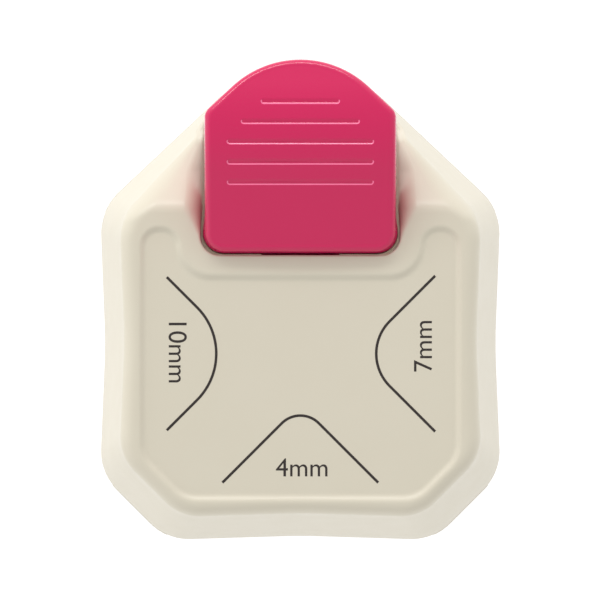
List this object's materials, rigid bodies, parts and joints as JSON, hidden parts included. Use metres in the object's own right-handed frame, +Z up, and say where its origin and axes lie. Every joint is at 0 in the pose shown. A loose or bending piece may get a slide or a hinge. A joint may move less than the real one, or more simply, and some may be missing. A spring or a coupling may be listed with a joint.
{
  "type": "corner rounder",
  "caption": "Hand-squeezed corner rounder with a pink thumb lever, paper slots on its sides and front, steel punches over a die plate, and a slide-out chip cover.",
  "frame": {"origin": "centre of the bounding box on the surface that the tool stands on", "axes": "+Z up out of the top panel, +Y towards the tip of the thumb lever, +X to the right, so the 10 mm slot is on -X, the 7 mm slot on +X and the 4 mm slot on -Y"},
  "size_m": [0.0628, 0.0747, 0.0425],
  "materials": {
    "casing_abs": "moulded ABS, satin gloss, cream white",
    "lever_abs": "moulded ABS, satin gloss, pink",
    "inner_plastic": "moulded, matte",
    "plate_steel": "rolled sheet, lightly oiled",
    "punch_steel": "hardened and ground",
    "spring_steel": "drawn wire",
    "zinc_steel": "zinc plated"
  },
  "bodies": {
    "casing": {"base_shell": "casing_abs", "upper_housing": "casing_abs", "die_plate": "plate_steel", "spacer_plate": "inner_plastic", "guide_plate": "plate_steel", "lever_pin": "plate_steel", "guide_post_left": "plate_steel", "guide_post_right": "plate_steel", "return_spring_left": "spring_steel", "return_spring_right": "spring_steel", "casing_screw_1": "zinc_steel", "casing_screw_2": "zinc_steel", "casing_screw_3": "zinc_steel", "casing_screw_4": "zinc_steel", "plate_screw_1": "zinc_steel", "plate_screw_2": "zinc_steel", "plate_screw_3": "zinc_steel", "plate_screw_4": "zinc_steel"},
    "lever": {"lever": "lever_abs"},
    "punch_carriage": {"punch_carrier": "plate_steel", "punch_10mm": "punch_steel", "punch_7mm": "punch_steel", "punch_4mm": "punch_steel", "punch_10mm_screw": "zinc_steel", "punch_7mm_screw": "zinc_steel", "punch_4mm_screw": "zinc_steel"},
    "chip_cover": {"chip_cover": "casing_abs"}
  },
  "joints": [
    {"name": "lever_hinge", "type": "hinge", "parent": "casing", "child": "lever", "pos_m": [0, -0.028, 0.02691], "axis": [-1, 0, 0], "range_deg": [0, 12.4], "stiffness_Nm_per_rad": 0.55, "springref_deg": -13.18},
    {"name": "punch_slide", "type": "slide", "parent": "casing", "child": "punch_carriage", "axis": [0, 0, -1], "range_m": [0, 0.0039], "stiffness_N_per_m": 100, "springref_m": -0.005, "deforming": ["return_spring_left", "return_spring_right"]},
    {"name": "chip_cover_slide", "type": "slide", "parent": "casing", "child": "chip_cover", "axis": [0, -1, 0], "range_m": [0, 0.036]}
  ],
  "couplings": [
    {"joint": "punch_slide", "follows": "lever_hinge", "m_per_rad": 0.0175}
  ]
}
